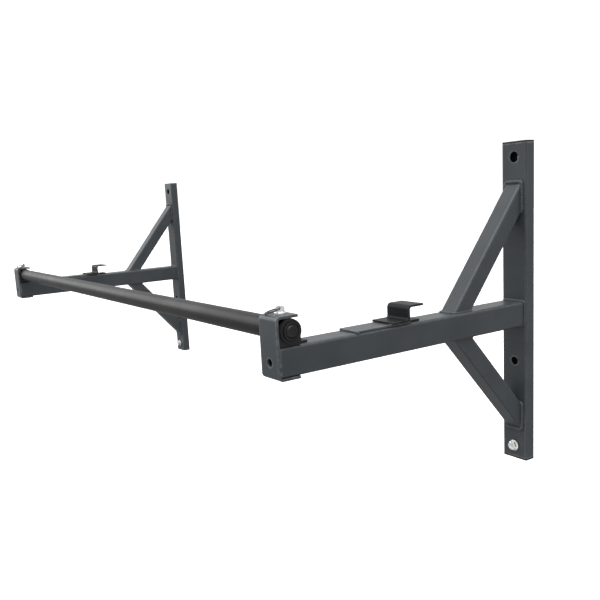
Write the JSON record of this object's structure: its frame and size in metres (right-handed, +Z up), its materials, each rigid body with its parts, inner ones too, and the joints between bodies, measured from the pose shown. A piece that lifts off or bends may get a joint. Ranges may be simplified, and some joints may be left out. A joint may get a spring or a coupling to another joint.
{
  "type": "wall-mounted pull-up bar",
  "caption": "Round pull-up bar locked by ring-headed pins into hooks on two braced steel wall brackets, with a second pair of hooks on the arms.",
  "frame": {"origin": "on the wall plane, midway between the top fixing holes of the two uprights", "axes": "+X along the bar from the left bracket to the right one, +Y into the wall, +Z up"},
  "size_m": [1.2698, 0.4695, 0.492],
  "materials": {
    "bracket_coat": "fine-textured dark slate powder coat",
    "dark_coat": "near-black satin coat",
    "bar_coat": "satin graphite coat",
    "black_plastic": "moulded black plastic",
    "zinc": "bright zinc plate",
    "ring_wire": "plated spring wire"
  },
  "bodies": {
    "frame": {"bar": "bar_coat", "left_upright": "bracket_coat", "left_arm": "bracket_coat", "left_upper_brace": "bracket_coat", "left_lower_brace": "bracket_coat", "left_front_hook": "bracket_coat", "left_front_strip": "dark_coat", "left_rear_pad": "bracket_coat", "left_rear_strip": "dark_coat", "left_rear_hook": "dark_coat", "left_top_cap": "black_plastic", "left_bottom_cap": "black_plastic", "left_saddle": "black_plastic", "left_end_plug": "black_plastic", "left_threaded_insert": "zinc", "left_washer": "zinc", "left_foot_bolt": "zinc", "right_upright": "bracket_coat", "right_arm": "bracket_coat", "right_upper_brace": "bracket_coat", "right_lower_brace": "bracket_coat", "right_front_hook": "bracket_coat", "right_front_strip": "dark_coat", "right_rear_pad": "bracket_coat", "right_rear_strip": "dark_coat", "right_rear_hook": "dark_coat", "right_top_cap": "black_plastic", "right_bottom_cap": "black_plastic", "right_saddle": "black_plastic", "right_end_plug": "black_plastic", "right_threaded_insert": "zinc", "right_washer": "zinc", "right_foot_bolt": "zinc"},
    "left_lock_pin": {"left_lock_pin": "zinc"},
    "left_pull_ring": {"left_pull_ring": "ring_wire"},
    "right_lock_pin": {"right_lock_pin": "zinc"},
    "right_pull_ring": {"right_pull_ring": "ring_wire"}
  },
  "joints": [
    {"name": "left_pin_lift", "type": "slide", "parent": "frame", "child": "left_lock_pin", "axis": [0, 0, 1], "range_m": [0, 0.024]},
    {"name": "right_pin_lift", "type": "slide", "parent": "frame", "child": "right_lock_pin", "axis": [0, 0, 1], "range_m": [0, 0.024]},
    {"name": "left_ring_swing", "type": "hinge", "parent": "left_lock_pin", "child": "left_pull_ring", "pos_m": [-0.6096, -0.4501, -0.1721], "axis": [-0.766, -0.6428, 0], "range_deg": [0, 145]},
    {"name": "right_ring_swing", "type": "hinge", "parent": "right_lock_pin", "child": "right_pull_ring", "pos_m": [0.6096, -0.4501, -0.1721], "axis": [-0.766, 0.6428, 0], "range_deg": [0, 145]}
  ]
}
